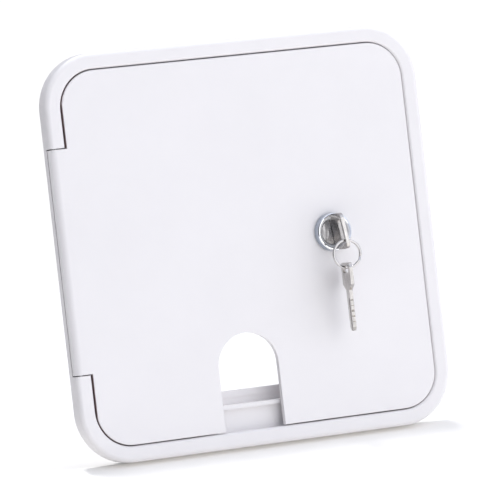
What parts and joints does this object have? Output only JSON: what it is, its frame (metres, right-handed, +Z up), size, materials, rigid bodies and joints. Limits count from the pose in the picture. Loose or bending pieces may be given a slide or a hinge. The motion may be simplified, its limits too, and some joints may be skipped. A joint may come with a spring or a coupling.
{
  "type": "deck hatch",
  "caption": "Square flush access hatch with rounded corners, a side-hinged door with an arched cable outlet, a cam lock and two keys on a ring.",
  "frame": {"origin": "middle of the mounting plane, on the back of the flange gasket, on the axis of the square frame", "axes": "+Z up along the hinge axis, -Y out of the panel towards the viewer, +X from the hinge side to the lock side"},
  "size_m": [0.218, 0.0492, 0.218],
  "materials": {
    "white_abs_frame": "satin moulded ABS",
    "white_abs_door": "satin moulded ABS with a very fine grain",
    "foam_gasket": "closed-cell foam",
    "rubber_seal": "matt",
    "stainless_pin": "ground",
    "chrome_bezel": "bright chrome plate",
    "nickel_plug": "satin nickel plate",
    "zinc_steel": "zinc plate",
    "brass_wafer": "stamped",
    "spring_steel": "drawn wire",
    "nickel_key": "tumbled nickel plate",
    "steel_ring": "bright nickel plate"
  },
  "bodies": {
    "frame_body": {"frame": "white_abs_frame", "flange_gasket": "foam_gasket", "upper_hinge_pin": "stainless_pin", "lower_hinge_pin": "stainless_pin"},
    "door_body": {"door": "white_abs_door", "door_seal": "rubber_seal", "lock_housing": "chrome_bezel", "bezel_seal": "rubber_seal", "lock_washer": "zinc_steel", "lock_nut": "zinc_steel"},
    "plug_body": {"lock_plug": "nickel_plug", "stop_washer": "zinc_steel", "cam": "zinc_steel", "cam_washer": "zinc_steel", "cam_screw": "zinc_steel"},
    "tumbler_body": {"wafer_1": "brass_wafer", "wafer_2": "brass_wafer", "wafer_3": "brass_wafer", "wafer_4": "brass_wafer", "wafer_5": "brass_wafer", "wafer_spring_1": "spring_steel", "wafer_spring_2": "spring_steel", "wafer_spring_3": "spring_steel", "wafer_spring_4": "spring_steel", "wafer_spring_5": "spring_steel"},
    "key_body": {"key": "nickel_key"},
    "ring_body": {"key_ring": "steel_ring"},
    "spare_key_body": {"spare_key": "nickel_key"}
  },
  "joints": [
    {"name": "door_hinge", "type": "hinge", "parent": "frame_body", "child": "door_body", "pos_m": [-0.1051, -0.0071, 0], "axis": [0, 0, -1], "range_deg": [0, 120]},
    {"name": "lock_turn", "type": "hinge", "parent": "door_body", "child": "plug_body", "pos_m": [0.048, -0.011, 0], "axis": [0, 1, 0], "range_deg": [0, 90]},
    {"name": "key_withdraw", "type": "slide", "parent": "plug_body", "child": "key_body", "axis": [0, -1, 0], "range_m": [0, 0.026]},
    {"name": "wafer_slide", "type": "slide", "parent": "plug_body", "child": "tumbler_body", "axis": [-0.1305, 0, 0.9914], "range_m": [0, 0.0006]},
    {"name": "ring_hang", "type": "hinge", "parent": "key_body", "child": "ring_body", "pos_m": [0.04906, -0.0244, -0.00803], "axis": [0, 1, 0], "range_deg": [-90, 0]},
    {"name": "spare_key_swing", "type": "hinge", "parent": "ring_body", "child": "spare_key_body", "pos_m": [0.04906, -0.0244, -0.01998], "axis": [0.9781, -0.2079, 0], "range_deg": [-40, 15]}
  ],
  "couplings": [
    {"joint": "wafer_slide", "follows": "key_withdraw", "ratio": 0.023},
    {"joint": "ring_hang", "follows": "lock_turn", "ratio": -1}
  ]
}
